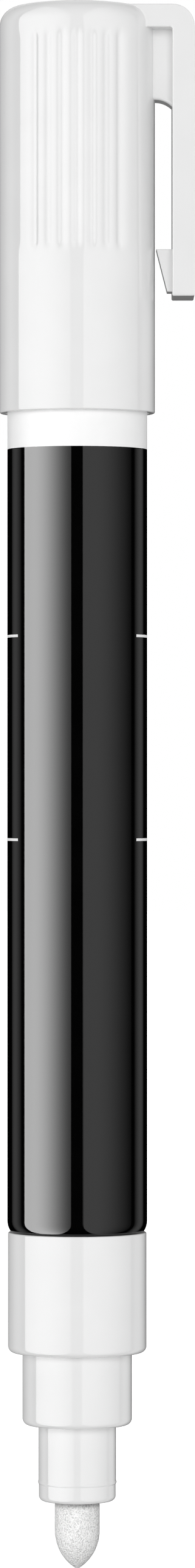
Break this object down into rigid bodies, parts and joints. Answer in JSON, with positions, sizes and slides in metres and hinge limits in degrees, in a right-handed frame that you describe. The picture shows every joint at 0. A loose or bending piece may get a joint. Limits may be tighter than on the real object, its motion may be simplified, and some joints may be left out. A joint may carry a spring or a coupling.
{
  "type": "liquid chalk marker",
  "caption": "Round valve-fed chalk marker with a bullet nib, stepped nose, black barrel and a fluted clip cap posted on its tail; the nib presses in and the cap pulls off.",
  "frame": {"origin": "on the marker's axis, halfway along the barrel's straight outer wall", "axes": "+Z along the axis from nib to cap, +X towards the pocket clip"},
  "size_m": [0.0188, 0.015, 0.1509],
  "materials": {
    "black_gloss": "high gloss black moulded plastic with a white printed band at the tail",
    "white_gloss": "gloss white moulded plastic",
    "nib_fibre": "bonded white fibre, slightly grainy",
    "seal_plastic": "soft translucent white plastic",
    "valve_plastic": "natural white moulded plastic",
    "spring_steel": "drawn stainless wire",
    "ball_steel": "polished stainless steel"
  },
  "bodies": {
    "marker_body": {"barrel": "black_gloss", "front_section": "white_gloss", "valve_seat": "seal_plastic", "valve_cage": "valve_plastic", "valve_spring": "spring_steel"},
    "cap": {"cap": "white_gloss", "inner_cap": "seal_plastic"},
    "nib": {"nib": "nib_fibre"},
    "valve_stem": {"valve_stem": "valve_plastic"},
    "mixing_ball": {"mixing_ball": "ball_steel"}
  },
  "joints": [
    {"name": "cap_pull", "type": "slide", "parent": "marker_body", "child": "cap", "axis": [0, 0, 1], "range_m": [0, 0.04]},
    {"name": "nib_press", "type": "slide", "parent": "marker_body", "child": "nib", "axis": [0, 0, 1], "range_m": [0, 0.0015], "stiffness_N_per_m": 200, "springref_m": -0.002},
    {"name": "valve_lift", "type": "slide", "parent": "marker_body", "child": "valve_stem", "axis": [0, 0, 1], "range_m": [0, 0.0015], "deforming": ["valve_spring"]},
    {"name": "ball_travel", "type": "slide", "parent": "marker_body", "child": "mixing_ball", "axis": [0, 0, 1], "range_m": [0, 0.068]}
  ],
  "couplings": [
    {"joint": "valve_lift", "follows": "nib_press", "ratio": 1}
  ]
}
